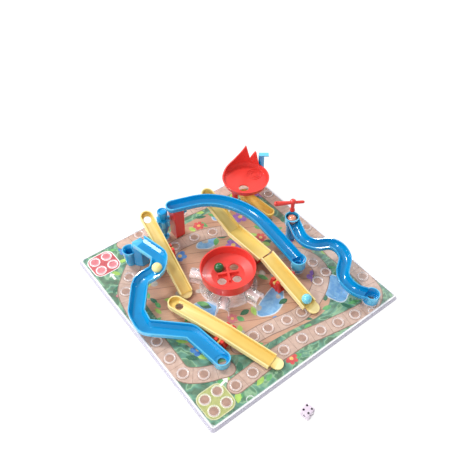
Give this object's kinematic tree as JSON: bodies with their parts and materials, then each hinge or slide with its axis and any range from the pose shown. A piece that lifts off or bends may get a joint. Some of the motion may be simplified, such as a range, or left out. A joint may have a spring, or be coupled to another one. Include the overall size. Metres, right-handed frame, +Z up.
{
  "type": "snakes and ladders board",
  "caption": "Board game with raised marble slides as snakes, see-saw ladders on pivot stands, a central bowl, a swirl dish, marbles and a die.",
  "frame": {"origin": "middle of the underside of the board, on the table plane", "axes": "+Z is up from the table. +X runs along the near right edge of the board and +Y runs along the near left edge, away from the start corner nearest the viewer."},
  "size_m": [0.2923, 0.3514, 0.0765],
  "materials": {
    "grey_base": "plain pale lavender grey moulding",
    "printed_card": "printed game board, semi-gloss",
    "clear_plastic": "clear thermoformed sheet, glossy",
    "red_plastic": "smooth coral red moulding",
    "blue_plastic": "smooth bright blue moulding",
    "yellow_plastic": "pale yellow moulding, finely textured",
    "amber_plastic": "smooth orange yellow moulding",
    "green_glass": "dark green polished glass",
    "cream_marble": "polished cream",
    "peach_marble": "polished peach",
    "light_blue_marble": "polished light blue",
    "white_die": "white with dark pips"
  },
  "bodies": {
    "board": {"base_board": "grey_base", "printed_card": "printed_card", "clear_tray": "clear_plastic", "clear_mound": "clear_plastic", "central_bowl": "red_plastic", "zigzag_slide": "blue_plastic", "arch_slide": "blue_plastic", "arch_post": "red_plastic", "s_slide": "blue_plastic", "knob_peg": "blue_plastic", "swirl_dish": "red_plastic", "dish_post": "red_plastic", "dish_tower": "blue_plastic", "dish_chute": "amber_plastic", "left_fulcrum": "red_plastic", "front_fulcrum": "red_plastic", "centre_fulcrum": "red_plastic", "upper_fulcrum": "red_plastic"},
    "left_see_saw": {"left_ladder": "yellow_plastic"},
    "front_see_saw": {"front_ladder": "yellow_plastic"},
    "centre_see_saw": {"centre_ladder": "yellow_plastic"},
    "upper_see_saw": {"upper_ladder": "yellow_plastic"},
    "gate_handle": {"turn_handle": "red_plastic"},
    "knob": {"turn_knob": "blue_plastic"},
    "loose_green": {"green_marble": "green_glass"},
    "loose_yellow": {"yellow_marble": "cream_marble"},
    "loose_orange": {"orange_marble": "peach_marble"},
    "loose_blue": {"blue_marble": "light_blue_marble"},
    "loose_die": {"die": "white_die"}
  },
  "joints": [
    {"name": "left_ladder_tip", "type": "hinge", "parent": "board", "child": "left_see_saw", "pos_m": [-0.05729, 0.0733, 0.02939], "axis": [-0.9929, 0.1191, 0], "range_deg": [0, 24]},
    {"name": "front_ladder_tip", "type": "hinge", "parent": "board", "child": "front_see_saw", "pos_m": [-0.06329, -0.06382, 0.01029], "axis": [-0.949, -0.3153, 0], "range_deg": [0, 5.4]},
    {"name": "centre_ladder_tip", "type": "hinge", "parent": "board", "child": "centre_see_saw", "pos_m": [0.04326, -0.04466, 0.01676], "axis": [-0.9999, -0.0106, 0], "range_deg": [0, 36]},
    {"name": "upper_ladder_tip", "type": "hinge", "parent": "board", "child": "upper_see_saw", "pos_m": [0.04086, 0.00919, 0.02174], "axis": [-0.9977, -0.0684, 0], "range_deg": [0, 25]},
    {"name": "handle_turn", "type": "hinge", "parent": "board", "child": "gate_handle", "pos_m": [0.11218, 0.01822, 0.043], "axis": [0, 0, 1], "continuous": true},
    {"name": "knob_turn", "type": "hinge", "parent": "board", "child": "knob", "pos_m": [-0.03045, 0.11445, 0.02], "axis": [0, 0, 1], "continuous": true},
    {"name": "green_marble_lift", "type": "slide", "parent": "board", "child": "loose_green", "axis": [0, 0, 1], "range_m": [0, 0.06]},
    {"name": "yellow_marble_lift", "type": "slide", "parent": "board", "child": "loose_yellow", "axis": [0, 0, 1], "range_m": [0, 0.06]},
    {"name": "orange_marble_lift", "type": "slide", "parent": "board", "child": "loose_orange", "axis": [0, 0, 1], "range_m": [0, 0.012]},
    {"name": "blue_marble_lift", "type": "slide", "parent": "centre_see_saw", "child": "loose_blue", "axis": [0, 0, 1], "range_m": [0, 0.06]},
    {"name": "die_lift", "type": "slide", "parent": "board", "child": "loose_die", "axis": [0, 0, 1], "range_m": [0, 0.06]}
  ]
}
